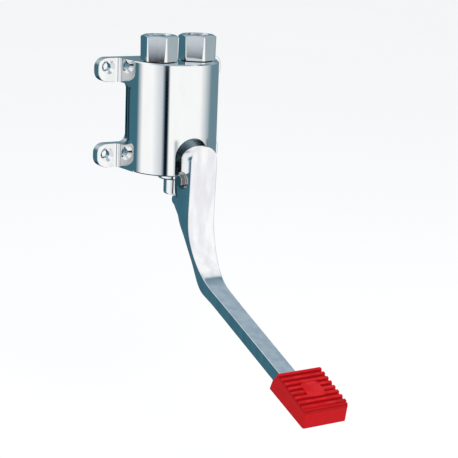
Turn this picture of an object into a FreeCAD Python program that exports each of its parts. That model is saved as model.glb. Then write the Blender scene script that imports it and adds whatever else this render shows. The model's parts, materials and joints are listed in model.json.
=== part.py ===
import FreeCAD, Part
import math
import os

# Foot pedal tap valve, millimetres.  The wall is the plane y = 0, the front is -y
# and up is +z.  The origin is the middle of the four wall screw holes.

V = FreeCAD.Vector

# Wall lugs
HOLE_X = 48.0
HOLE_Z = 35.7
HOLE_R = 3.2
SINK_R = 5.8
SINK_DEEP = 2.6
LUG_END = 56.6
LUG_THICK = 8.7
LUG_TALL = 19.4
LUG_CORNER = 8.0
WEB_ROUND = 4.5
WEB_HALF = 38.6
SIDE_ROUND = 3.0
BACK_HALF = 27.8
BACK_FLARE = 1.7
BACK_DEEP = 8.2
BACK_ROUND = 7.5

# Cast body
BODY_R = 36.6
BODY_Y = -29.8
BODY_TOP = 43.1
BODY_BASE = -46.3
BODY_EDGE = 1.0
FRONT_Y = BODY_Y - BODY_R

# Water way
VALVE_Y = -36.8
PORT_X = 17.1
THREAD_R = 10.45
FIT = 0.05
PORT_DEEP = 12.5
LOW_R = 11.0
LOW_TOP = -2.0
HIGH_R = 9.0
HIGH_TOP = 24.0
WAY_R = 4.0
IN_WAY_Z = 14.0
OUT_WAY_Z = -18.0

# Hexagon connectors
HEX_FLATS = 27.0
HEX_TALL = 20.2
HEX_TURN = -37.0
HEX_DROP = 1.6
WASHER_THICK = 0.6
PIPE_R = 9.316
PIPE_DEEP = 16.0
NECK_R = 7.0

# Pocket in the front of the body
POCKET_W = 13.6
POCKET_TOP = -17.5
POCKET_BACK = -56.0
POCKET_BEVEL = 2.2
BEVEL_DEEP = 5.6

# Pivot
PIVOT_Y = -70.4
PIVOT_Z = -47.9
PIN_R = 3.0
PIN_PLAY = 0.05
EAR_IN = 4.7
EAR_OUT = 8.0
EAR_BOSS = 7.0
BUSH_R = 4.5
TAB_R = 6.9
TAB_THICK = 0.8
SIDE_PLAY = 0.25
BOLT_FLATS = 8.6
BOLT_HEAD = 2.2
NUT_TALL = 2.6

# Gland and push stem
FLANGE_R = 14.4
FLANGE_BASE = -52.4
GLAND_TOP = -30.0
STEM_R = 4.0
CAP_R = 9.0
CAP_BASE = -65.6
CAP_TOP = -51.4
STEM_LIFT = 4.95
SEAT_BASE = -8.0
LIP_TOP = 0.5
SEAT_HOLE = 6.0
SOFT_GAP = 0.3
DISC_R = 8.1
DISC_THICK = 3.0
HOLDER_THICK = 3.0
SPIGOT_R = 2.5
SPRING_R = 6.3
SPRING_WIRE = 0.75
SPRING_TURNS = 5

# Lever
HEAD_W = 11.7
HEAD_TOP = -19.1
HEAD_FRONT = -84.6
HEAD_BACK = -63.0
BAR_W = 7.1
BAR_Y = -117.0
BAR_Z = -127.9
BAR_DROP = 0.356
BAR_DEEP = 11.2
BAR_END = -252.0
BEND_Y = BAR_Y + 1.4
HEEL_W = 4.2
NOSE_Y = -44.0
NOSE_Z = -69.4
NOSE_R = 3.5

# Rubber pad
PAD_W = 18.4
PAD_RIBS = 8
RIB_TALL = 1.7
# The pad's side outline, as steps in y and z from the top of the bar's end
PAD_BACK_LOW = (32.0, 4.96)
PAD_BACK_MID = (28.4, 12.36)
PAD_BACK_TOP = (22.6, 17.76)
PAD_FRONT_TOP = (-15.6, 1.76)
PAD_FRONT_LOW = (-13.3, -10.24)
PLATE_BACK = 11.0
PAD_CORNER = 1.6
SCREW_BACKS = (16.0, 6.0)
SCREW_YS = [BAR_END + back for back in SCREW_BACKS]


def box(x0, x1, y0, y1, z0, z1):
    return Part.makeBox(x1 - x0, y1 - y0, z1 - z0, V(x0, y0, z0))


def rod_z(radius, z0, z1, x=0.0, y=VALVE_Y):
    return Part.makeCylinder(radius, z1 - z0, V(x, y, z0), V(0, 0, 1))


def rod_x(radius, x0, x1, y=PIVOT_Y, z=PIVOT_Z):
    return Part.makeCylinder(radius, x1 - x0, V(x0, y, z), V(1, 0, 0))


def tube_z(outer, inner, z0, z1, x=0.0, y=VALVE_Y):
    return rod_z(outer, z0, z1, x, y).cut(rod_z(inner, z0 - 1, z1 + 1, x, y))


def tube_x(outer, inner, x0, x1):
    return rod_x(outer, x0, x1).cut(rod_x(inner, x0 - 1, x1 + 1))


def slab_x(points, x0, x1):
    """A flat outline in y and z, carried from x0 to x1."""
    corners = [V(x0, y, z) for y, z in points]
    face = Part.Face(Part.makePolygon(corners + corners[:1]))
    return face.extrude(V(x1 - x0, 0, 0))


def slab_z(points, z0, z1):
    """A flat outline in x and y, carried from z0 to z1."""
    corners = [V(x, y, z0) for x, y in points]
    face = Part.Face(Part.makePolygon(corners + corners[:1]))
    return face.extrude(V(0, 0, z1 - z0))


def turned_z(points, x=0.0, y=VALVE_Y):
    """A radius and height outline turned around an upright line."""
    corners = [V(x + r, y, z) for r, z in points]
    face = Part.Face(Part.makePolygon(corners + corners[:1]))
    return face.revolve(V(x, y, 0), V(0, 0, 1), 360)


def hexagon(centre, along, flats, length, turn):
    """A hexagonal bar that starts at centre and runs along one direction."""
    radius = flats / math.sqrt(3)
    if abs(along.z) > 0.5:
        side, other = V(1, 0, 0), V(0, 1, 0)
    else:
        side, other = V(0, 1, 0), V(0, 0, 1)
    corners = []
    for k in range(6):
        angle = math.radians(turn + 60 * k)
        corners.append(centre + side * (radius * math.cos(angle)) + other * (radius * math.sin(angle)))
    face = Part.Face(Part.makePolygon(corners + corners[:1]))
    return face.extrude(along * length)


def mirrored(shape):
    return shape.mirror(V(0, 0, 0), V(1, 0, 0))


def both_sides(shape):
    return shape.fuse(mirrored(shape))


def lug_plate(z_edge, z_inner):
    """One row of two lugs with the web that carries them into the round body."""
    low, high = min(z_edge, z_inner), max(z_edge, z_inner)
    plate = box(-LUG_END, LUG_END, -LUG_THICK, 0, low, high)
    ends = [e for e in plate.Edges
            if abs(e.Vertexes[0].Point.z - e.Vertexes[1].Point.z) < 0.01
            and abs(abs(e.Vertexes[0].Point.x) - LUG_END) < 0.01
            and abs(abs(e.Vertexes[1].Point.x) - LUG_END) < 0.01
            and abs(e.Vertexes[0].Point.y - e.Vertexes[1].Point.y) > 1]
    plate = plate.makeFillet(LUG_CORNER, ends)
    return plate.fuse(web_block(low, high))


def web_block(low, high):
    """The web's plan: its sides run from the lugs into the round body without a step."""
    across = math.hypot(WEB_HALF, -LUG_THICK - BODY_Y)
    turn = math.asin(BODY_R / across) + math.atan2(-LUG_THICK - BODY_Y, WEB_HALF)
    reach = math.sqrt(across ** 2 - BODY_R ** 2)
    meet_x = WEB_HALF - reach * math.cos(turn)
    meet_y = -LUG_THICK - reach * math.sin(turn)
    plan = [(-WEB_HALF, 0), (-WEB_HALF, -LUG_THICK), (-meet_x, meet_y), (meet_x, meet_y),
            (WEB_HALF, -LUG_THICK), (WEB_HALF, 0)]
    return slab_z(plan, low, high)


def back_block(low, high):
    """Narrow flat behind the round body, with hollow rounds up and down to the lugs."""
    front = BACK_HALF + BACK_FLARE
    block = slab_z([(-BACK_HALF, 0), (-front, -BACK_DEEP), (front, -BACK_DEEP), (BACK_HALF, 0)], low, high)
    for edge, away in ((low, 1), (high, -1)):
        near, far = min(edge, edge + away * BACK_ROUND), max(edge, edge + away * BACK_ROUND)
        corner = box(BACK_HALF - 0.5, BACK_HALF + BACK_ROUND, -BACK_DEEP, 0, near, far)
        hollow = Part.makeCylinder(BACK_ROUND, BACK_DEEP + 2,
                                   V(BACK_HALF + BACK_ROUND, 1, edge + away * BACK_ROUND), V(0, -1, 0))
        block = block.fuse(both_sides(corner.cut(hollow)))
    return block


def side_fillets(low, high):
    """The hollow corner between a lug's front and the web's side."""
    reach = SIDE_ROUND
    block = box(WEB_HALF - 0.6, WEB_HALF + reach, -LUG_THICK - reach, -LUG_THICK + 0.2, low, high)
    hollow = Part.makeCylinder(reach, high - low + 2, V(WEB_HALF + reach, -LUG_THICK - reach, low - 1))
    return both_sides(block.cut(hollow))


def arch(half, top, y0, y1, base):
    """A round-topped doorway outline carried along y."""
    centre = top - half
    upright = box(-half, half, y0, y1, base, centre)
    crown = Part.makeCylinder(half, y1 - y0, V(0, y0, centre), V(0, 1, 0))
    return upright.fuse(crown)


def arch_wire(half, top, y):
    centre = top - half
    base = BODY_BASE - 8.0
    crown = Part.Arc(V(-half, y, centre), V(0, y, top), V(half, y, centre)).toShape()
    return Part.Wire([Part.makeLine(V(-half, y, base), V(-half, y, centre)), crown,
                      Part.makeLine(V(half, y, centre), V(half, y, base)),
                      Part.makeLine(V(half, y, base), V(-half, y, base))])


def pocket_bevel():
    """The sloping rim around the pocket's mouth, one smooth cone."""
    outer = arch_wire(POCKET_W + POCKET_BEVEL * 1.4, POCKET_TOP + POCKET_BEVEL * 1.4, FRONT_Y - 0.4 * BEVEL_DEEP)
    inner = arch_wire(POCKET_W, POCKET_TOP, FRONT_Y + BEVEL_DEEP)
    return Part.makeLoft([outer, inner], True, True)


def ear():
    """One of the two ears that carry the pivot, part of the casting."""
    web = slab_x([(-52.5, -40.6), (PIVOT_Y, PIVOT_Z + EAR_BOSS), (PIVOT_Y - 4.5, PIVOT_Z - 5.3),
                  (-61, -61.5), (-55, -63.8), (-52.4, -62.0), (-51.7, -58.0), (-51.7, -44)],
                 EAR_IN, EAR_OUT)
    return web.fuse(rod_x(EAR_BOSS, EAR_IN, EAR_OUT))


def web_rounds(z, away):
    """The rounded inner corner between a lug web and the round body."""
    low, high = min(z, z + away * WEB_ROUND), max(z, z + away * WEB_ROUND)
    ring = Part.makeCylinder(BODY_R + WEB_ROUND, high - low, V(0, BODY_Y, low))
    ring = ring.cut(Part.makeCylinder(BODY_R - 0.3, high - low + 2, V(0, BODY_Y, low - 1)))
    ring = ring.cut(Part.makeTorus(BODY_R + WEB_ROUND, WEB_ROUND, V(0, BODY_Y, z + away * WEB_ROUND)))
    return ring.common(web_block(low, high))


def valve_body():
    barrel = Part.makeCylinder(BODY_R, BODY_TOP - BODY_BASE, V(0, BODY_Y, BODY_BASE))
    rims = [e for e in barrel.Edges if e.Length > 100]
    barrel = barrel.makeChamfer(BODY_EDGE, rims)
    barrel = barrel.cut(box(-60, 60, 0, 20, -80, 80))
    up_in = BODY_TOP - LUG_TALL
    low_in = BODY_BASE + LUG_TALL
    shape = barrel.fuse([lug_plate(BODY_TOP, up_in), lug_plate(BODY_BASE, low_in),
                         web_rounds(up_in, -1), web_rounds(low_in, 1),
                         side_fillets(up_in, BODY_TOP), side_fillets(BODY_BASE, low_in),
                         back_block(low_in - 0.5, up_in + 0.5)])
    shape = shape.cut(arch(POCKET_W, POCKET_TOP, -90, POCKET_BACK, BODY_BASE - 5))
    shape = shape.cut(pocket_bevel())
    shape = shape.fuse(both_sides(ear()))
    holes = []
    for x in (-HOLE_X, HOLE_X):
        for z in (-HOLE_Z, HOLE_Z):
            holes.append(Part.makeCylinder(HOLE_R, 20, V(x, 5, z), V(0, -1, 0)))
            holes.append(Part.makeCone(SINK_R, HOLE_R, SINK_DEEP, V(x, -LUG_THICK, z), V(0, 1, 0)))
    for x in (-PORT_X, PORT_X):
        holes.append(rod_z(THREAD_R, BODY_TOP - PORT_DEEP, BODY_TOP + 2, x))
    holes.append(rod_z(WAY_R, IN_WAY_Z - WAY_R, BODY_TOP, -PORT_X))
    holes.append(rod_z(WAY_R, OUT_WAY_Z - WAY_R, BODY_TOP, PORT_X))
    holes.append(Part.makeCylinder(WAY_R, PORT_X, V(-PORT_X, VALVE_Y, IN_WAY_Z), V(1, 0, 0)))
    holes.append(Part.makeCylinder(WAY_R, PORT_X, V(0, VALVE_Y, OUT_WAY_Z), V(1, 0, 0)))
    holes.append(rod_z(LOW_R, BODY_BASE - 1, LOW_TOP))
    holes.append(rod_z(HIGH_R, LOW_TOP - 1, HIGH_TOP))
    holes.append(rod_x(PIN_R + PIN_PLAY, -20, 20))
    return shape.cut(holes[0].fuse(holes[1:]))


def connector(x):
    """Hexagon with a pipe thread above and a threaded neck that goes into the body."""
    base = BODY_TOP + WASHER_THICK
    top = base + HEX_TALL
    corner = HEX_FLATS / math.sqrt(3)
    block = hexagon(V(x, VALVE_Y, base), V(0, 0, 1), HEX_FLATS, HEX_TALL, HEX_TURN)
    round_top = turned_z([(0, base), (corner + 0.1, base), (corner + 0.1, top - HEX_DROP),
                          (HEX_FLATS / 2 - 0.7, top), (0, top)], x)
    block = block.common(round_top)
    neck = rod_z(THREAD_R - FIT, BODY_TOP - PORT_DEEP + 1.5, base, x)
    shape = block.fuse(neck)
    hollow = turned_z([(0, BODY_TOP - 20), (NECK_R, BODY_TOP - 20), (NECK_R, top - PIPE_DEEP - 1.5),
                       (PIPE_R, top - PIPE_DEEP), (PIPE_R, top - 0.9), (PIPE_R + 1.1, top + 0.2),
                       (PIPE_R + 1.1, top + 5), (0, top + 5)], x)
    return shape.cut(hollow)


def connector_washers():
    ring = tube_z(HEX_FLATS / 2 - 1.0, THREAD_R + 0.1, BODY_TOP, BODY_TOP + WASHER_THICK, PORT_X)
    return both_sides(ring)


def inlet_strainer():
    """A cup with slots, pushed into the neck of the inlet."""
    top = BODY_TOP + 3.2
    cup = turned_z([(0, top - 8), (6.2, top - 8), (6.9, top), (5.9, top), (5.3, top - 7), (0, top - 7)], -PORT_X)
    slots = []
    for k in range(8):
        slot = box(-PORT_X - 0.6, -PORT_X + 0.6, VALVE_Y + 3.5, VALVE_Y + 10, top - 6, top - 1.5)
        slots.append(slot.rotate(V(-PORT_X, VALVE_Y, 0), V(0, 0, 1), 45 * k))
    return cup.cut(slots[0].fuse(slots[1:]))


def check_cartridge():
    """Non-return cartridge below the strainer."""
    top = BODY_TOP - 5.6
    base = BODY_TOP - 10.6
    ring = tube_z(NECK_R - 0.1, 4.6, base, top, -PORT_X)
    spider = box(-PORT_X - 5, -PORT_X + 5, VALVE_Y - 0.6, VALVE_Y + 0.6, base, base + 1.2)
    spider = spider.fuse(box(-PORT_X - 0.6, -PORT_X + 0.6, VALVE_Y - 5, VALVE_Y + 5, base, base + 1.2))
    poppet = rod_z(1.2, base, top - 1.2, -PORT_X).fuse(rod_z(4.2, top - 1.8, top - 0.6, -PORT_X))
    return ring.fuse([spider, poppet])


def flow_disc():
    """Flow limiting disc in the neck of the outlet."""
    disc = rod_z(NECK_R - 0.1, BODY_TOP - 9, BODY_TOP - 6, PORT_X)
    ports = []
    for k in range(6):
        angle = math.radians(60 * k)
        ports.append(rod_z(1.3, BODY_TOP - 10, BODY_TOP - 5, PORT_X + 4 * math.cos(angle), VALVE_Y + 4 * math.sin(angle)))
    return disc.cut(ports[0].fuse(ports[1:]))


def valve_seat():
    """Screwed ring with the raised lip that the rubber closes on."""
    return turned_z([(SEAT_HOLE, SEAT_BASE), (LOW_R - FIT, SEAT_BASE), (LOW_R - FIT, LOW_TOP),
                     (HIGH_R - 0.4, LOW_TOP), (HIGH_R - 1.6, LIP_TOP - 0.6), (SEAT_HOLE + 1.1, LIP_TOP),
                     (SEAT_HOLE, LIP_TOP)])


def gland_nut():
    """Flanged plug that closes the body from below and guides the stem."""
    return turned_z([(STEM_R + FIT, GLAND_TOP), (LOW_R - FIT, GLAND_TOP), (LOW_R - FIT, BODY_BASE - 0.8),
                     (FLANGE_R - 0.6, BODY_BASE - 0.8), (FLANGE_R, BODY_BASE - 1.4), (FLANGE_R, FLANGE_BASE + 1.2),
                     (FLANGE_R - 1.2, FLANGE_BASE), (CAP_R + 0.2, FLANGE_BASE), (CAP_R + 0.2, CAP_TOP + STEM_LIFT + 0.5),
                     (STEM_R + FIT, CAP_TOP + STEM_LIFT + 0.5)]).cut(
        tube_z(6.4, STEM_R - 0.5, -38.2, -34.2))


def gland_washer():
    return tube_z(FLANGE_R - 0.9, LOW_R + 0.1, BODY_BASE - 0.8, BODY_BASE)


def stem_seal():
    """Round sealing ring in the plug's groove."""
    ring = Part.makeTorus(5.2, 1.1, V(0, VALVE_Y, -36.8))
    return ring


def seal_backing():
    return tube_z(6.3, STEM_R + 0.1, -35.6, -34.4)


def push_stem():
    step = LIP_TOP + SOFT_GAP
    return turned_z([(0, CAP_TOP - 8), (3.0, CAP_TOP - 8), (3.0, CAP_TOP), (STEM_R, CAP_TOP), (STEM_R, step),
                     (SPIGOT_R, step), (SPIGOT_R, step + DISC_THICK + HOLDER_THICK + 5.2), (0, step + DISC_THICK + HOLDER_THICK + 5.2)])


def stem_cap():
    body = turned_z([(0, CAP_BASE), (CAP_R - 1.6, CAP_BASE), (CAP_R - 0.5, CAP_BASE + 0.5), (CAP_R, CAP_BASE + 1.6),
                     (CAP_R, CAP_TOP), (3.05, CAP_TOP), (3.05, CAP_TOP - 8.2), (0, CAP_TOP - 8.2)])
    return body


def disc_rubber():
    z = LIP_TOP + SOFT_GAP
    return tube_z(DISC_R, SPIGOT_R + FIT, z, z + DISC_THICK)


def disc_holder():
    z = LIP_TOP + SOFT_GAP + DISC_THICK
    plate = tube_z(DISC_R + 0.5, SPIGOT_R + FIT, z, z + 1.6)
    return plate.fuse(tube_z(5.3, SPIGOT_R + FIT, z + 1.6, z + HOLDER_THICK))


def disc_nut():
    z = LIP_TOP + SOFT_GAP + DISC_THICK + HOLDER_THICK
    block = hexagon(V(0, VALVE_Y, z), V(0, 0, 1), 8.0, 4.0, 0)
    return block.cut(rod_z(SPIGOT_R + FIT, z - 1, z + 6))


def return_spring():
    base = LIP_TOP + SOFT_GAP + DISC_THICK + 1.6 + SPRING_WIRE
    top = HIGH_TOP - SPRING_WIRE
    coil = Part.makeHelix((top - base) / SPRING_TURNS, top - base, SPRING_R + 1.0)
    section = Part.Wire(Part.makeCircle(SPRING_WIRE, V(SPRING_R + 1.0, 0, 0), V(0, 1, 0)))
    wire = Part.Wire(coil).makePipeShell([section], True, True)
    wire.translate(V(0, VALVE_Y, base))
    return wire


def curve(points, start=None, end=None):
    spline = Part.BSplineCurve()
    if start:
        spline.interpolate([V(0, y, z) for y, z in points], InitialTangent=V(0, *start), FinalTangent=V(0, *end))
    else:
        spline.interpolate([V(0, y, z) for y, z in points])
    return spline.toShape()


def lever_side():
    """The lever seen from the side, carried across its widest part."""
    along = (-1.0, -BAR_DROP)
    front = curve([(HEAD_FRONT, HEAD_TOP), (-84.4, -36), (-83.8, -50), (-83.0, -66), (-82.8, -81), (-84.4, -90.5),
                   (-88.6, -101.3), (-95.0, -111.6), (-104.6, -121.2), (BAR_Y, BAR_Z)], (0.02, -1.0), along)
    back = curve([(BEND_Y, bar_low(BEND_Y)), (-104.5, -135.3), (-97.0, -131.8), (-92.0, -125.5),
                  (-88.0, -115.0), (-81.5, -102.6), (-74.2, -91.2), (-66.4, -80.6), (-63.4, -72.0), (HEAD_BACK, -62.0)],
                 (1.0, BAR_DROP), (0.0, 1.0))
    crown = curve([(HEAD_BACK, -42.0), (-64.0, -37.0), (-66.6, -31.5), (-70.0, -26.0), (-74.0, -21.6), (-78.0, HEAD_TOP)],
                  (0.0, 1.0), (-1.0, 0.35))
    corners = [V(0, BAR_Y, BAR_Z), V(0, BAR_END, bar_top(BAR_END)), V(0, BAR_END, bar_low(BAR_END) + 3.0),
               V(0, BAR_END + 3.0, bar_low(BAR_END + 3.0)), V(0, BEND_Y, bar_low(BEND_Y))]
    edges = [front]
    for a, b in zip(corners[:-1], corners[1:]):
        edges.append(Part.makeLine(a, b))
    edges.append(back)
    edges.append(Part.makeLine(V(0, HEAD_BACK, -62.0), V(0, HEAD_BACK, -42.0)))
    edges.append(crown)
    edges.append(Part.makeLine(V(0, -78.0, HEAD_TOP), V(0, HEAD_FRONT, HEAD_TOP)))
    face = Part.Face(Part.Wire(Part.__sortEdges__(edges)))
    face.translate(V(-20, 0, 0))
    return face.extrude(V(40, 0, 0))


def lever_front():
    """The lever seen from the front: round-topped head that narrows into the bar."""
    def side_curve(sign):
        spline = Part.BSplineCurve()
        pairs = [(HEAD_W + 0.1, -80), (11.6, -92), (10.7, -104), (9.2, -117), (7.9, -127), (BAR_W + 0.2, -137), (BAR_W, -150)]
        spline.interpolate([V(sign * x, 0, z) for x, z in pairs])
        return spline.toShape()
    shoulder = HEAD_TOP - HEAD_W
    foot = bar_low(BAR_END) - 12.0
    crown = Part.Arc(V(-HEAD_W, 0, shoulder), V(0, 0, HEAD_TOP), V(HEAD_W, 0, shoulder)).toShape()
    edges = [crown]
    for sign in (-1, 1):
        edges.append(Part.makeLine(V(sign * HEAD_W, 0, shoulder), V(sign * (HEAD_W + 0.1), 0, -80)))
        edges.append(side_curve(sign))
        edges.append(Part.makeLine(V(sign * BAR_W, 0, -150), V(sign * (BAR_W - 0.3), 0, foot)))
    edges.append(Part.makeLine(V(BAR_W - 0.3, 0, foot), V(-(BAR_W - 0.3), 0, foot)))
    face = Part.Face(Part.Wire(Part.__sortEdges__(edges)))
    face.translate(V(0, BAR_END - 20, 0))
    return face.extrude(V(0, -BAR_END, 0))


def lever():
    blank = lever_side().common(lever_front())
    slot = slab_x([(-50, -36.5), (-71, -36.5), (-77.5, -39.5), (-79.8, -47.9), (-77.8, -56), (-72, -62.5),
                   (-60, -72), (-50, -72)], -EAR_OUT - 0.5, EAR_OUT + 0.5)
    blank = blank.cut(slot)
    heel = slab_x([(-82.0, -56), (-76, -58.4), (-64, -61.0), (-56, -66.4), (NOSE_Y, NOSE_Z + NOSE_R - 0.3),
                   (NOSE_Y, NOSE_Z - NOSE_R), (-51.0, -80.2), (-57.5, -88.0), (-70, -93.5), (-80, -90)], -HEEL_W, HEEL_W)
    heel = heel.fuse(rod_x(NOSE_R, -HEEL_W, HEEL_W, NOSE_Y, NOSE_Z))
    shape = blank.fuse(heel)
    shape = shape.cut(rod_x(BUSH_R + 0.02, -20, 20))
    screws = [pad_screw_hole(y) for y in SCREW_YS]
    return shape.cut(screws[0].fuse(screws[1:]))


def bar_top(y):
    return BAR_Z + (y - BAR_Y) * BAR_DROP


def bar_low(y):
    return bar_top(y) - BAR_DEEP


def tilted(shape, y):
    """Lay an upright shape over so it stands square on the bar at one place."""
    lean = math.degrees(math.atan(BAR_DROP))
    return shape.rotate(V(0, y, bar_top(y)), V(1, 0, 0), lean)


def pad_screw_hole(y):
    z = bar_top(y)
    return tilted(rod_z(2.1, z - 20, z + 5, 0, y), y)


def pad_screws():
    shapes = []
    deep = BAR_DEEP * math.cos(math.atan(BAR_DROP))
    for y in SCREW_YS:
        z = bar_top(y)
        shank = rod_z(2.0, z - deep, z + 2.2, 0, y)
        head = turned_z([(0, z - deep - 2.0), (2.6, z - deep - 2.0), (3.5, z - deep - 1.0), (3.5, z - deep), (0, z - deep)], 0, y)
        slot = box(-0.5, 0.5, y - 5, y + 5, z - deep - 2.5, z - deep - 1.1)
        shapes.append(tilted(shank.fuse(head).cut(slot), y))
    return shapes[0].fuse(shapes[1])


def pad_plate():
    """Steel plate moulded into the pad, that the screws pull down on the bar."""
    y = BAR_END + PLATE_BACK
    z = bar_top(y) + 0.35
    plate = box(-13, 13, y - 14, y + 14, z, z + 2.0)
    plate = tilted(plate, y)
    holes = [tilted(rod_z(2.05, bar_top(s) - 5, bar_top(s) + 6, 0, s), s) for s in SCREW_YS]
    return plate.cut(holes[0].fuse(holes[1:]))


def pedal_pad():
    """Ribbed rubber pad with a channel below for the bar."""
    outline = [(BAR_END + dy, bar_top(BAR_END) + dz)
               for dy, dz in (PAD_BACK_LOW, PAD_BACK_MID, PAD_BACK_TOP, PAD_FRONT_TOP, PAD_FRONT_LOW)]
    back_y, back_z = outline[2]
    low_y, low_z = outline[0]
    block = slab_x(outline, -PAD_W, PAD_W)
    uprights = [e for e in block.Edges
                if abs(e.Vertexes[0].Point.x - e.Vertexes[1].Point.x) < 0.01
                and abs(e.Vertexes[0].Point.y - e.Vertexes[1].Point.y) < 8]
    block = block.makeFillet(PAD_CORNER, uprights)
    dy = PAD_FRONT_TOP[0] - PAD_BACK_TOP[0]
    dz = PAD_FRONT_TOP[1] - PAD_BACK_TOP[1]
    length = math.hypot(dy, dz)
    lean = math.degrees(math.atan(dz / dy))
    pitch = length / (PAD_RIBS + 0.35)
    ribs = []
    for k in range(PAD_RIBS):
        start = back_y - 0.35 - k * pitch
        rib = box(-PAD_W, PAD_W, start - pitch * 0.52, start, back_z - 1.0, back_z + RIB_TALL)
        ribs.append(rib)
    front = back_y - length
    ribs.append(box(-PAD_W, PAD_W, front + 1.6, front + 3.4, back_z - 1.0, back_z + RIB_TALL * 0.55))
    middle = back_y - length * 0.5
    panel = box(-7.5, 7.5, middle - 7.5, middle + 7.5, back_z - 1.0, back_z + RIB_TALL)
    panel = panel.makeFillet(3.0, [e for e in panel.Edges if abs(e.Vertexes[0].Point.z - e.Vertexes[1].Point.z) > 1])
    top = ribs[0].fuse(ribs[1:] + [panel])
    top.rotate(V(0, back_y, back_z), V(1, 0, 0), lean)
    block = block.fuse(top)
    channel_end = BAR_END - 0.4
    channel = slab_x([(low_y + 10, bar_top(low_y + 10) + 0.3), (channel_end, bar_top(channel_end) + 0.3),
                      (channel_end, low_z - 30), (low_y + 10, low_z - 30)], -BAR_W - 0.3, BAR_W + 0.3)
    block = block.cut(channel)
    y = BAR_END + PLATE_BACK
    z = bar_top(y) + 0.3
    seat = tilted(box(-13.1, 13.1, y - 14.1, y + 14.1, z - 0.05, z + 2.15), y)
    block = block.cut(seat)
    tips = [tilted(rod_z(2.2, bar_top(s) - 5, bar_top(s) + 2.7, 0, s), s) for s in SCREW_YS]
    return block.cut(tips[0].fuse(tips[1:]))


def pivot_bushes():
    """Plain bushes pressed into the lever's two cheeks."""
    return both_sides(tube_x(BUSH_R, PIN_R + PIN_PLAY, EAR_OUT + SIDE_PLAY, HEAD_W - 0.05))


def pivot_washers():
    start = HEAD_W + SIDE_PLAY
    return both_sides(tube_x(TAB_R, PIN_R + PIN_PLAY, start, start + TAB_THICK))


def pivot_bolt():
    face = HEAD_W + SIDE_PLAY + TAB_THICK
    shank = rod_x(PIN_R, -face, face + NUT_TALL + 0.3)
    head = hexagon(V(-face - BOLT_HEAD, PIVOT_Y, PIVOT_Z), V(1, 0, 0), BOLT_FLATS, BOLT_HEAD, 30)
    crown = Part.makeCone(BOLT_FLATS / 2 - 0.1, BOLT_FLATS / 2 - 0.1 + BOLT_HEAD * 1.8, BOLT_HEAD,
                          V(-face - BOLT_HEAD, PIVOT_Y, PIVOT_Z), V(1, 0, 0))
    return shank.fuse(head.common(crown))


def pivot_nut():
    start = HEAD_W + SIDE_PLAY + TAB_THICK
    block = hexagon(V(start, PIVOT_Y, PIVOT_Z), V(1, 0, 0), BOLT_FLATS, NUT_TALL - 0.7, 30)
    collar = rod_x(BOLT_FLATS / 2 - 0.4, start + NUT_TALL - 0.7, start + NUT_TALL)
    return block.fuse(collar).cut(rod_x(PIN_R + PIN_PLAY, start - 1, start + 8))


def pivot_spacer():
    return tube_x(4.8, PIN_R + PIN_PLAY, -EAR_IN + 0.1, EAR_IN - 0.1)


PIECES = {
    "valve_body": valve_body,
    "inlet_connector": lambda: connector(-PORT_X),
    "outlet_connector": lambda: connector(PORT_X),
    "connector_washers": connector_washers,
    "inlet_strainer": inlet_strainer,
    "check_cartridge": check_cartridge,
    "flow_disc": flow_disc,
    "valve_seat": valve_seat,
    "gland_nut": gland_nut,
    "gland_washer": gland_washer,
    "stem_seal": stem_seal,
    "seal_backing": seal_backing,
    "return_spring": return_spring,
    "push_stem": push_stem,
    "disc_rubber": disc_rubber,
    "disc_holder": disc_holder,
    "disc_nut": disc_nut,
    "stem_cap": stem_cap,
    "lever": lever,
    "pivot_bushes": pivot_bushes,
    "pivot_bolt": pivot_bolt,
    "pivot_washers": pivot_washers,
    "pivot_nut": pivot_nut,
    "pivot_spacer": pivot_spacer,
    "pad_plate": pad_plate,
    "pad_screws": pad_screws,
    "pedal_pad": pedal_pad,
}

os.makedirs("parts", exist_ok=True)
for name, make in PIECES.items():
    shape = make()
    shape.exportStep("parts/%s.step" % name)
    print(name, "valid", shape.isValid(), "solids", len(shape.Solids), "volume %.0f" % shape.Volume)
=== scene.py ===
import json
import math

import bmesh
import bpy
from mathutils import Matrix, Vector


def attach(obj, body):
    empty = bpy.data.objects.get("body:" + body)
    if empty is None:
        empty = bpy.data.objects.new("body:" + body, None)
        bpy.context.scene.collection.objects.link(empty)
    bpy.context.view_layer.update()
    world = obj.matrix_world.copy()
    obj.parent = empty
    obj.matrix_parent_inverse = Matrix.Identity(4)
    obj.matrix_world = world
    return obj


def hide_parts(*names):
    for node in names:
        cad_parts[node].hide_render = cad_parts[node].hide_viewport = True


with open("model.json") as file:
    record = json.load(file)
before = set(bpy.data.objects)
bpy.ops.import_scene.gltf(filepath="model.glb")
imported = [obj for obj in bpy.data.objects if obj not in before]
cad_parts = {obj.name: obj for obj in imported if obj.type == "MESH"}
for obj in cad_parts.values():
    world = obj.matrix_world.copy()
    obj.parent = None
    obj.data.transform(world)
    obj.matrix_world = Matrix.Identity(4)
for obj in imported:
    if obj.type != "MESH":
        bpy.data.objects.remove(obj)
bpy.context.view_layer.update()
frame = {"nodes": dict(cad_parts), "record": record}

# Foot pedal tap valve: looks, light and camera.  Metres, in the frame of the solids:
# the wall is the plane y = 0, the front is -y and up is +z.

scene = bpy.context.scene
nodes = frame["nodes"]

# Where things are on the real valve
PORT_X = 0.0171
VALVE_Y = -0.0368
PIPE_R = 0.009316
HEX_TOP = 0.0639
PIVOT = Vector((0.0, -0.0704, -0.0479))

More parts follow.
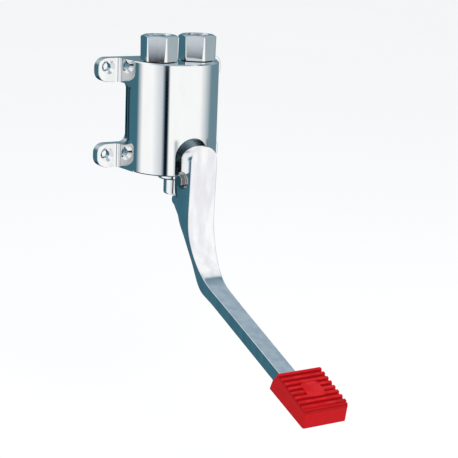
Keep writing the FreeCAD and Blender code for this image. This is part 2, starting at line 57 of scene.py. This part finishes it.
# Foot pad
PAD_W = 0.0184
PAD_SIDE = ((-0.2200, -0.1710), (-0.2236, -0.1636), (-0.2294, -0.1582), (-0.2676, -0.1742),
            (-0.2653, -0.1862))
PAD_RIBS = 8
RIB_TALL = 0.0017
BAR_TOP_POINT = (-0.117, -0.1279)
BAR_DROP = 0.356
BAR_W = 0.0071
BAR_END = -0.252
PAD_CORNER = 0.0016
PAD_SOFT_EDGE = 0.0012
RIB_EDGE = 0.00042
PANEL_WIDE = 0.015
PANEL_DEEP = 0.0036
PANEL_CORNER = 0.003
CHANNEL_BACK = -0.210
CHANNEL_BASE = -0.200
CHANNEL_PLAY = 0.0003

# Studio
FLOOR_HEIGHT = -0.30


class Field:
    """A value that changes over a surface, and adds a Math node for each sum done with it."""

    def __init__(self, tree, socket):
        self.tree = tree
        self.socket = socket

    def sum(self, operation, *others):
        node = self.tree.nodes.new("ShaderNodeMath")
        node.operation = operation
        for place, item in enumerate(others):
            if isinstance(item, Field):
                self.tree.links.new(item.socket, node.inputs[place])
            else:
                node.inputs[place].default_value = item
        return Field(self.tree, node.outputs[0])

    def __add__(self, other):
        return self.sum("ADD", self, other)

    def __radd__(self, other):
        return self.sum("ADD", other, self)

    def __sub__(self, other):
        return self.sum("SUBTRACT", self, other)

    def __rsub__(self, other):
        return self.sum("SUBTRACT", other, self)

    def __mul__(self, other):
        return self.sum("MULTIPLY", self, other)

    def __rmul__(self, other):
        return self.sum("MULTIPLY", other, self)

    def __truediv__(self, other):
        return self.sum("DIVIDE", self, other)

    def size(self):
        return self.sum("ABSOLUTE", self)

    def sine(self):
        return self.sum("SINE", self)


class Finish:
    """The node tree of one surface finish."""

    def __init__(self, tree):
        self.tree = tree
        tree.nodes.clear()

    def node(self, kind, settings, values):
        made = self.tree.nodes.new("ShaderNode" + kind)
        for key, value in settings.items():
            if key == "stops":
                ramp = made.color_ramp
                while len(ramp.elements) < len(value):
                    ramp.elements.new(0.5)
                for stop, (place, colour) in zip(ramp.elements, value):
                    stop.position = place
                    stop.color = (*colour, 1)
            else:
                setattr(made, key, value)
        for key, value in values.items():
            if isinstance(value, Field):
                self.tree.links.new(value.socket, made.inputs[key])
            else:
                made.inputs[key].default_value = value
        return made

    def out(self, node, socket=0):
        return Field(self.tree, node.outputs[socket])

    def spot(self):
        """Object coordinates as one vector."""
        return self.out(self.node("TexCoord", {}, {}), "Object")

    def here(self):
        """Object coordinates as one vector and as three fields."""
        spot = self.spot()
        parts = self.node("SeparateXYZ", {}, {"Vector": spot})
        return spot, self.out(parts, 0), self.out(parts, 1), self.out(parts, 2)

    def cloud(self, spot, scale, detail=3.0, stretch=(1, 1, 1)):
        """Soft noise from 0 to 1, scale in patches a metre."""
        laid = self.out(self.node("Mapping", {}, {"Vector": spot, "Scale": stretch}))
        return self.out(self.node("TexNoise", {}, {"Vector": laid, "Scale": scale, "Detail": detail}), 0)

    def step(self, value, low, high):
        """0 below low, 1 above high, and a soft rise between them."""
        settings = {"interpolation_type": "SMOOTHSTEP"}
        return self.out(self.node("MapRange", settings, {"Value": value, "From Min": low, "From Max": high}))

    def mix(self, part, first, second):
        """A colour between two colours."""
        def full(colour):
            return colour if isinstance(colour, Field) else (*colour, 1)
        values = {0: part, 6: full(first), 7: full(second)}
        return self.out(self.node("Mix", {"data_type": "RGBA"}, values), 2)

    def bump(self, height, deep, strength=1.0):
        return self.out(self.node("Bump", {}, {"Height": height, "Distance": deep, "Strength": strength}))

    def surface(self, **values):
        """Ends the tree in a Principled surface."""
        named = {key.replace("_", " "): value for key, value in values.items()}
        for key, value in named.items():
            if "Color" in key and not isinstance(value, Field):
                named[key] = (*value, 1)
        shader = self.out(self.node("BsdfPrincipled", {}, named))
        self.node("OutputMaterial", {}, {"Surface": shader})


def finish(name):
    material = bpy.data.materials.new(name)
    material.use_nodes = True
    return material, Finish(material.node_tree)


PLATE_DULL = (0.885, 0.895, 0.90)
PLATE_BRIGHT = (0.955, 0.96, 0.96)


def wiped_plate(f, spot):
    """Fine smears and wiped water marks, and the roughness that they give chrome plate."""
    smear = f.cloud(spot, 160.0, 4.0, (1, 1, 0.25))
    marks = f.step(f.cloud(spot, 420.0, 5.0), 0.60, 0.78)
    return smear, 0.030 + smear * 0.035 + marks * 0.05


def chrome(name, wave=0.00002, patches=38.0, dull=PLATE_DULL):
    """Bright chrome plate with a faint swell from hand polishing."""
    material, f = finish(name)
    spot = f.spot()
    swell = f.cloud(spot, patches, 1.0)
    smear, rough = wiped_plate(f, spot)
    tone = f.mix(f.step(smear, 0.3, 0.7), dull, PLATE_BRIGHT)
    f.surface(Base_Color=tone, Metallic=1.0, Roughness=rough, Normal=f.bump(swell, wave, 0.6))
    return material


def cast_chrome(name):
    """The body's plate: bright outside; inside the pocket, where no wheel reaches, rougher and pitted, and
    coloured dark teal as painted shade.
    """
    material, f = finish(name)
    spot, x, y, z = f.here()
    swell = f.cloud(spot, 38.0, 1.0)
    smear, rough = wiped_plate(f, spot)
    between = 1 - f.step(x.size(), 0.0136, 0.0166)
    under = 1 - f.step(z, -0.0190, -0.0150)
    in_front = f.step(y, -0.0648, -0.0630) * (1 - f.step(y, -0.0530, -0.0510))
    pocket_rough_and_shade = between * in_front * under
    pits = f.cloud(spot, 900.0, 4.0)
    # painted shade: the pocket walls get a dark teal colour in place of the shadow inside the recess
    tone = f.mix(pocket_rough_and_shade, f.mix(smear, PLATE_DULL, PLATE_BRIGHT), (0.22, 0.30, 0.33))
    rough = rough + pocket_rough_and_shade * 0.26
    f.surface(Base_Color=tone, Metallic=1.0, Roughness=rough,
              Normal=f.bump(swell + pocket_rough_and_shade * pits * 0.6, 0.00002, 0.6))
    return material


def brass(name):
    """Turned brass: fine rings round the upright axis, a little dulled."""
    material, f = finish(name)
    spot = f.spot()
    dull = f.cloud(spot, 240.0, 4.0)
    rings = f.cloud(spot, 900.0, 2.0, (0.02, 0.02, 3.0))
    tone = f.mix(dull, (0.60, 0.40, 0.16), (0.78, 0.57, 0.27))
    f.surface(Base_Color=tone, Metallic=1.0, Roughness=0.22 + dull * 0.2, Normal=f.bump(rings, 0.00003, 0.5))
    return material


def steel(name, light=0.56):
    """Bare stainless: drawn grain and a soft grey shine."""
    material, f = finish(name)
    spot = f.spot()
    grain = f.cloud(spot, 1500.0, 3.0, (0.05, 1, 1))
    dull = f.cloud(spot, 200.0, 3.0)
    tone = f.mix(dull, (light, light, light * 0.99), (light + 0.16, light + 0.155, light + 0.15))
    f.surface(Base_Color=tone, Metallic=1.0, Roughness=0.10 + grain * 0.10, Normal=f.bump(grain, 0.000004, 0.5))
    return material


def soft_black(name, tone=(0.018, 0.018, 0.02), rough=0.6):
    """Moulded black rubber."""
    material, f = finish(name)
    spot = f.spot()
    bloom = f.cloud(spot, 180.0, 4.0)
    pores = f.cloud(spot, 2600.0, 2.0)
    colour = f.mix(bloom, tone, tuple(c * 2.2 + 0.008 for c in tone))
    f.surface(Base_Color=colour, Roughness=rough + bloom * 0.15, Normal=f.bump(pores, 0.00003, 0.5))
    return material


def plastic(name, tone):
    """Moulded engineering plastic with a fine matt grain."""
    material, f = finish(name)
    spot = f.spot()
    flow = f.cloud(spot, 90.0, 3.0)
    grain = f.cloud(spot, 3200.0, 2.0)
    dark = tuple(c * 0.86 for c in tone)
    f.surface(Base_Color=f.mix(flow, dark, tone), Roughness=0.34 + flow * 0.14,
              Normal=f.bump(grain, 0.00002, 0.4))
    return material


def fibre_sheet(name):
    """Pressed dark fibre: short strands that lie flat."""
    material, f = finish(name)
    spot = f.spot()
    strands = f.cloud(spot, 1400.0, 4.0, (1, 1, 6))
    colour = f.mix(strands, (0.035, 0.028, 0.024), (0.085, 0.065, 0.05))
    f.surface(Base_Color=colour, Roughness=0.75, Normal=f.bump(strands, 0.00005, 0.6))
    return material


def wire_cloth(name):
    """Woven stainless strainer cloth: square wires over and under."""
    material, f = finish(name)
    x, y, z = f.here()[1:]
    pitch = 2 * math.pi / 0.0011
    weave = (x * pitch).sine() * (z * pitch).sine() + (y * pitch).sine() * 0.5
    holes = f.step(weave, -0.1, 0.3)
    colour = f.mix(holes, (0.10, 0.10, 0.10), (0.62, 0.61, 0.60))
    f.surface(Base_Color=colour, Metallic=1.0, Roughness=0.5 - holes * 0.25, Normal=f.bump(weave, 0.0001, 0.6))
    return material


def pad_red(name):
    """Red moulded rubber for the foot: a fine matt skin, painted shade darkening the floor between the ribs,
    and rubbed on top of them.
    """
    material, f = finish(name)
    spot, x, y, z = f.here()
    top_y, top_z = PAD_SIDE[2]
    end_y, end_z = PAD_SIDE[3]
    run = math.hypot(end_y - top_y, end_z - top_z)
    up_y, up_z = (top_z - end_z) / -run, (top_y - end_y) / run
    height = (y - top_y) * up_y + (z - top_z) * up_z
    between_ribs_painted_shade = 1 - f.step(height, 0.0, 0.0012)
    on_top = f.step(height, -0.0012, -0.0004)
    worn = f.step(height, 0.0013, 0.0017) * f.step(f.cloud(spot, 130.0, 4.0), 0.42, 0.62)
    dust = f.cloud(spot, 240.0, 5.0)
    skin = f.cloud(spot, 2800.0, 3.0)
    base = f.mix(dust, (0.50, 0.004, 0.008), (0.62, 0.008, 0.013))
    # painted shade: the floor between the ribs is coloured darker red
    base = f.mix(between_ribs_painted_shade * on_top * 0.55, base, (0.30, 0.006, 0.009))
    base = f.mix(worn * 0.35, base, (0.72, 0.030, 0.036))
    rough = 0.46 + dust * 0.12 - worn * 0.10
    f.surface(Base_Color=base, Roughness=rough, Specular_IOR_Level=0.10, Normal=f.bump(skin, 0.00004, 0.45))
    return material


FINISHES = {
    "body_chrome": cast_chrome("body_chrome"),
    "connector_chrome": chrome("connector_chrome", 0.00001, 70.0),
    "gland_chrome": chrome("gland_chrome", 0.00001, 90.0),
    "cap_chrome": chrome("cap_chrome", 0.00001, 120.0),
    "lever_chrome": chrome("lever_chrome", 0.00004, 55.0, (0.80, 0.80, 0.85)),
    "fibre": fibre_sheet("fibre"),
    "strainer_steel": wire_cloth("strainer_steel"),
    "cartridge_plastic": plastic("cartridge_plastic", (0.74, 0.75, 0.74)),
    "inner_brass": brass("inner_brass"),
    "seal_rubber": soft_black("seal_rubber"),
    "seal_plastic": plastic("seal_plastic", (0.80, 0.80, 0.78)),
    "bush_plastic": plastic("bush_plastic", (0.10, 0.10, 0.105)),
    "spring_steel": steel("spring_steel", 0.50),
    "bolt_steel": steel("bolt_steel", 0.30),
    "pad_rubber": pad_red("pad_rubber"),
}

node_slots = {part["node"]: part["material_slot"] for part in frame["record"]["subparts"]}
node_body = {}
for body, members in frame["record"]["behaviour"]["bodies"].items():
    for node in members:
        node_body[node] = body


def show(name, mesh, body, slot):
    """Puts a finished mesh in the scene as a piece that rides on a body."""
    piece = bpy.data.objects.new(name, mesh)
    scene.collection.objects.link(piece)
    mesh.materials.clear()
    mesh.materials.append(FINISHES[slot])
    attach(piece, body)
    return piece


def smooth_round(bm, angle=33.0):
    """Shades curves smooth and leaves real corners crisp."""
    for face in bm.faces:
        face.smooth = True
    for edge in bm.edges:
        edge.smooth = len(edge.link_faces) == 2 and edge.calc_face_angle() < math.radians(angle)


def rounded(bm, wanted, wide, steps):
    """Rounds the sharp edges that wanted() picks."""
    picked = [e for e in bm.edges if len(e.link_faces) == 2 and e.calc_face_angle() > 0.6 and wanted(e)]
    bmesh.ops.bevel(bm, geom=picked, offset=wide, segments=steps, affect="EDGES", profile=0.5, material=-1,
                    clamp_overlap=False)


def hexagon_corner(edge):
    return abs(edge.verts[0].co.z - edge.verts[1].co.z) > 0.012


def lever_rim(edge):
    def outside(vert):
        side = abs(vert.co.x)
        return side > 0.0112 if vert.co.z > -0.082 else side > 0.0064
    clear = all((vert.co - PIVOT).yz.length > 0.0075 for vert in edge.verts)
    return clear and all(outside(vert) for vert in edge.verts)


def lug_rim(edge):
    def on_face(vert):
        return abs(vert.co.y + 0.0087) < 0.00002 and abs(vert.co.x) > 0.0418
    holes = [Vector((x, z)) for x in (-0.048, 0.048) for z in (-0.0357, 0.0357)]
    clear = all(min((vert.co.xz - hole).length for hole in holes) > 0.0068 for vert in edge.verts)
    return clear and all(on_face(vert) for vert in edge.verts)


ROUNDED = {"inlet_connector": (hexagon_corner, 0.0017, 5), "outlet_connector": (hexagon_corner, 0.0017, 5),
           "lever": (lever_rim, 0.0006, 3), "valve_body": (lug_rim, 0.0008, 3)}


def polished(node):
    """A cleaned copy of a solid, so that reflections run without facets round its curves."""
    bm = bmesh.new()
    bm.from_mesh(nodes[node].data)
    bmesh.ops.remove_doubles(bm, verts=bm.verts, dist=0.000002)
    if node in ROUNDED:
        bmesh.ops.dissolve_limit(bm, angle_limit=math.radians(0.4), verts=bm.verts, edges=bm.edges)
        rounded(bm, *ROUNDED[node])
    smooth_round(bm)
    mesh = bpy.data.meshes.new(node + "_polished")
    bm.to_mesh(mesh)
    bm.free()
    if "custom_normal" in mesh.attributes:
        mesh.attributes.remove(mesh.attributes["custom_normal"])
    piece = show(node + "_polished", mesh, node_body[node], node_slots[node])
    even = piece.modifiers.new("even_shading", "WEIGHTED_NORMAL")
    even.keep_sharp = True
    even.weight = 60
    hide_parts(node)
    return piece


def pipe_thread(name, x, top):
    """The coarse thread inside a connector, wound up its bore."""
    pitch = 0.001814
    turns = 7
    steps = 40
    bm = bmesh.new()
    start = top - 0.0022 - pitch * turns
    tooth = [(0.00012, -0.42), (-0.00062, -0.08), (-0.00062, 0.08), (0.00012, 0.42)]
    corners = [bm.verts.new((x + PIPE_R + out, VALVE_Y, start + pitch * up)) for out, up in tooth]
    edges = [bm.edges.new(pair) for pair in zip(corners[:-1], corners[1:])]
    bmesh.ops.spin(bm, geom=corners + edges, cent=(x, VALVE_Y, 0), axis=(0, 0, 1),
                   dvec=(0, 0, pitch / steps), angle=math.tau * turns, steps=steps * turns)
    bmesh.ops.recalc_face_normals(bm, faces=bm.faces)
    flat = next(f for f in bm.faces if abs(f.normal.z) < 0.3)
    inward = Vector((x, VALVE_Y, flat.calc_center_median().z)) - flat.calc_center_median()
    if flat.normal.dot(inward) < 0:
        bmesh.ops.reverse_faces(bm, faces=bm.faces)
    smooth_round(bm)
    mesh = bpy.data.meshes.new(name)
    bm.to_mesh(mesh)
    bm.free()
    return show(name, mesh, "housing", "connector_chrome")


def bar_top(y):
    return BAR_TOP_POINT[1] + (y - BAR_TOP_POINT[0]) * BAR_DROP


def solid_from(outline, half):
    """A closed outline in y and z, drawn out to both sides of the middle."""
    bm = bmesh.new()
    face = bm.faces.new([bm.verts.new((-half, y, z)) for y, z in outline])
    grown = bmesh.ops.extrude_face_region(bm, geom=[face])
    moved = [g for g in grown["geom"] if isinstance(g, bmesh.types.BMVert)]
    bmesh.ops.translate(bm, verts=moved, vec=(2 * half, 0, 0))
    bmesh.ops.recalc_face_normals(bm, faces=bm.faces)
    return bm


def foot_pad():
    """The red rubber foot pad: a wedge with rounded ribs across its top and a plain square in the middle."""
    bm = solid_from(PAD_SIDE, PAD_W)
    upright = [e for e in bm.edges if abs(e.verts[0].co.x - e.verts[1].co.x) < 0.0001
               and abs(e.verts[0].co.y - e.verts[1].co.y) < 0.008]
    bmesh.ops.bevel(bm, geom=upright, offset=PAD_CORNER, segments=4, affect="EDGES", profile=0.5, material=-1)
    top = Vector((0, *PAD_SIDE[2]))
    along = Vector((0, *PAD_SIDE[3])) - top
    length = along.length
    along.normalize()
    up = Vector((0, along.z, -along.y))
    below = [e for e in bm.edges if abs(e.verts[0].co.x - e.verts[1].co.x) < 0.0001
             and len(e.link_faces) == 2 and e.calc_face_angle() > 1
             and any((v.co - top).dot(up) < -0.0009 for v in e.verts)]
    bmesh.ops.bevel(bm, geom=below, offset=PAD_SOFT_EDGE, segments=4, affect="EDGES", profile=0.5, material=-1)
    pitch = length / (PAD_RIBS + 0.35)
    strips = []
    for k in range(PAD_RIBS):
        start = 0.00035 + k * pitch
        strips.append((start, start + pitch * 0.56, RIB_TALL))
    strips.append((length - 0.0034, length - 0.0016, RIB_TALL * 0.55))
    for low, high, tall in strips:
        for place in (low, high):
            bmesh.ops.bisect_plane(bm, geom=bm.verts[:] + bm.edges[:] + bm.faces[:], dist=0.000001,
                                   plane_co=top + along * place, plane_no=along)
    for low, high, tall in strips:
        middle = (low + high) / 2
        faces = [f for f in bm.faces if f.normal.dot(up) > 0.99
                 and abs((f.calc_center_median() - top).dot(up)) < 0.0001
                 and low < (f.calc_center_median() - top).dot(along) < high]
        grown = bmesh.ops.extrude_face_region(bm, geom=faces)
        moved = [g for g in grown["geom"] if isinstance(g, bmesh.types.BMVert)]
        bmesh.ops.delete(bm, geom=faces, context="FACES_ONLY")
        bmesh.ops.translate(bm, verts=moved, vec=up * tall)
        for vert in moved:
            off = (vert.co - top).dot(along) - middle
            vert.co -= along * off * 0.22
    bmesh.ops.dissolve_limit(bm, angle_limit=0.01, verts=bm.verts, edges=bm.edges)
    bmesh.ops.recalc_face_normals(bm, faces=bm.faces)
    sharp = [e for e in bm.edges if len(e.link_faces) == 2 and e.calc_face_angle() > math.radians(18)]
    bmesh.ops.bevel(bm, geom=sharp, offset=RIB_EDGE, segments=3, affect="EDGES", profile=0.5, material=-1,
                    clamp_overlap=True)
    panel = bmesh.ops.create_cube(bm, size=1.0)["verts"]
    bmesh.ops.scale(bm, verts=panel, vec=(PANEL_WIDE, PANEL_WIDE, PANEL_DEEP))
    upright = [e for e in bm.edges if all(v in panel for v in e.verts)
               and abs(e.verts[0].co.z - e.verts[1].co.z) > 0.001]
    corners = bmesh.ops.bevel(bm, geom=upright, offset=PANEL_CORNER, segments=6, affect="EDGES", profile=0.5,
                              material=-1)
    island = list({v for f in corners["faces"] for v in f.verts} | {v for v in panel if v.is_valid})
    lid = [e for e in bm.edges if all(v in island for v in e.verts) and all(v.co.z > 0.001 for v in e.verts)
           and len(e.link_faces) == 2 and e.calc_face_angle() > 1]
    softened = bmesh.ops.bevel(bm, geom=lid, offset=0.0005, segments=3, affect="EDGES", profile=0.5,
                               material=-1)
    island = list({v for v in island if v.is_valid} | {v for f in softened["faces"] for v in f.verts})
    middle = top + along * (length / 2) + up * (RIB_TALL - 0.0015)
    turn = Matrix((Vector((1, 0, 0)), -along, up)).transposed().to_4x4()
    bmesh.ops.transform(bm, matrix=Matrix.Translation(middle) @ turn, verts=island)
    bmesh.ops.recalc_face_normals(bm, faces=bm.faces)
    smooth_round(bm, 50.0)
    mesh = bpy.data.meshes.new("foot_pad")
    bm.to_mesh(mesh)
    bm.free()

    # the channel that the bar lies in
    front = BAR_END - 0.0004
    channel = solid_from([(CHANNEL_BACK, bar_top(CHANNEL_BACK) + CHANNEL_PLAY),
                          (front, bar_top(front) + CHANNEL_PLAY), (front, CHANNEL_BASE),
                          (CHANNEL_BACK, CHANNEL_BASE)], BAR_W + CHANNEL_PLAY)
    cutter_mesh = bpy.data.meshes.new("bar_channel")
    channel.to_mesh(cutter_mesh)
    channel.free()
    cutter = bpy.data.objects.new("bar_channel", cutter_mesh)
    block = bpy.data.objects.new("pad_block", mesh)
    scene.collection.objects.link(cutter)
    scene.collection.objects.link(block)
    cut = block.modifiers.new("channel", "BOOLEAN")
    cut.object = cutter
    cut.operation = "DIFFERENCE"
    cut.solver = "EXACT"
    done = bpy.data.meshes.new_from_object(block.evaluated_get(bpy.context.evaluated_depsgraph_get()))
    for spare in (cutter, block):
        bpy.data.objects.remove(spare)
    piece = show("foot_pad", done, "pedal", "pad_rubber")
    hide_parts("pedal_pad")
    return piece


def dress():
    """Gives every solid its finish, and puts the modelled pieces in place."""
    for node in nodes:
        for place in nodes[node].material_slots:
            place.material = FINISHES[node_slots[node]]
    for node in ("valve_body", "inlet_connector", "outlet_connector", "gland_nut", "stem_cap", "lever",
                 "pivot_bolt", "pivot_nut", "pivot_washers"):
        polished(node)
    pipe_thread("inlet_thread", -PORT_X, HEX_TOP - 0.0016)
    pipe_thread("outlet_thread", PORT_X, HEX_TOP)
    foot_pad()


def floor():
    """A plain pale floor that takes the soft shadow."""
    bm = bmesh.new()
    bmesh.ops.create_grid(bm, x_segments=1, y_segments=1, size=20.0)
    bmesh.ops.translate(bm, verts=bm.verts, vec=(0, 0, FLOOR_HEIGHT))
    mesh = bpy.data.meshes.new("studio_floor")
    bm.to_mesh(mesh)
    bm.free()
    material, f = finish("pale_floor")
    seen = f.out(f.node("LightPath", {}, {}), "Is Camera Ray")
    spot = f.spot()
    pale = f.mix(f.cloud(spot, 1.5, 2.0), (0.84, 0.845, 0.85), (0.86, 0.865, 0.87))
    matt = f.out(f.node("BsdfDiffuse", {}, {"Color": pale}))
    glow = f.out(f.node("Emission", {}, {"Color": (1, 1, 1, 1), "Strength": 0.22}))
    both = f.out(f.node("AddShader", {}, {0: matt, 1: glow}))
    shader = f.out(f.node("MixShader", {}, {0: seen, 1: matt, 2: both}))
    f.node("OutputMaterial", {}, {"Surface": shader})
    mesh.materials.append(material)
    ground = bpy.data.objects.new("studio_floor", mesh)
    ground.visible_glossy = False
    scene.collection.objects.link(ground)


# The few tones that the room round the valve is painted in
WHITE = (1.0, 1.0, 1.0)
PALE = (0.60, 0.65, 0.70)
MIST = (0.35, 0.45, 0.52)
SLATE = (0.15, 0.25, 0.30)
DEEP = (0.05, 0.15, 0.20)
NIGHT = (0.00, 0.01, 0.02)

# Round the room at the height of the valve, in degrees to the left of straight ahead: a white front, one narrow
# dark card on the left, a pale gap, a second white wall, and a dark back
ROOM = ((-180, NIGHT), (-150, SLATE), (-85, SLATE), (-45, WHITE), (35, WHITE), (40, NIGHT), (47, NIGHT),
        (55, PALE), (80, WHITE), (110, WHITE), (130, DEEP), (165, DEEP), (180, NIGHT))
# Round the room higher up
SKY = ((-180, MIST), (-115, MIST), (-85, DEEP), (-75, WHITE), (150, WHITE), (180, MIST))


def studio():
    """A white room in front, a cool grey room behind and a narrow dark card low on the left."""
    world = bpy.data.worlds.new("studio")
    scene.world = world
    world.use_nodes = True
    f = Finish(world.node_tree)
    way = f.out(f.node("TexCoord", {}, {}), "Generated")
    parts = f.node("SeparateXYZ", {}, {"Vector": way})
    x, y, z = (f.out(parts, place) for place in range(3))
    left = f.out(f.node("Math", {"operation": "ARCTAN2"}, {0: 0 - x, 1: 0 - y})) * (180 / math.pi)
    rise = f.out(f.node("Math", {"operation": "ARCSINE"}, {0: z})) * (180 / math.pi)

    def ring(colours):
        stops = [((turn + 180) / 360, colour) for turn, colour in colours]
        return f.out(f.node("ValToRGB", {"stops": stops}, {"Fac": left / 360 + 0.5}))

    above_card = f.step(rise, -6.7, -5.9)
    by_card = f.step(left, 26, 32) * (1 - f.step(left, 58, 64))
    far_left = f.step(left, 120, 130)
    seen = ring(ROOM)
    seen = f.mix(above_card * by_card, seen, PALE)
    seen = f.mix(above_card * far_left * (1 - f.step(rise, 0, 5)), seen, DEEP)
    seen = f.mix(f.step(rise, 4, 34), seen, ring(SKY))
    seen = f.mix(f.step(rise, 52, 72), seen, MIST)
    path = f.node("LightPath", {}, {})
    mirror = f.out(path, "Is Glossy Ray")
    camera = f.out(path, "Is Camera Ray")
    shown = f.mix(mirror, (0.80, 0.81, 0.82), seen)
    shown = f.mix(camera, shown, (1.0, 1.0, 1.0))
    glow = f.out(f.node("Background", {}, {"Color": shown, "Strength": 1.0}))
    f.node("OutputWorld", {}, {"Surface": glow})


def soft_lamp(name, place, aim, wide, power):
    data = bpy.data.lights.new(name, "AREA")
    data.shape = "DISK"
    data.size = wide
    data.energy = power
    lamp = bpy.data.objects.new(name, data)
    facing = (Vector(aim) - Vector(place)).to_track_quat("-Z", "Y")
    lamp.matrix_world = Matrix.Translation(place) @ facing.to_matrix().to_4x4()
    lamp.visible_glossy = False
    scene.collection.objects.link(lamp)


def camera():
    """Looks from the left and a little above, rolled slightly."""
    turn, dip, roll = math.radians(31.2), math.radians(13.5), math.radians(2.2)
    ahead = Vector((math.sin(turn) * math.cos(dip), math.cos(turn) * math.cos(dip), -math.sin(dip)))
    right = Vector((math.cos(turn), -math.sin(turn), 0))
    up = right.cross(ahead)
    side = right * math.cos(roll) + up * math.sin(roll)
    top = up * math.cos(roll) - right * math.sin(roll)
    data = bpy.data.cameras.new("photo_view")
    data.lens = 108.0
    data.sensor_width = 36.0
    held = bpy.data.objects.new("photo_view", data)
    place = Matrix((side, top, -ahead)).transposed().to_4x4()
    place.translation = Vector((-0.5321, -1.0043, 0.1706))
    held.matrix_world = place
    scene.collection.objects.link(held)
    scene.camera = held


camera()
dress()
floor()
studio()
soft_lamp("key", (-0.25, -1.4, 1.0), (0, -0.1, -0.05), 1.2, 10.0)
scene.view_settings.view_transform = "Standard"
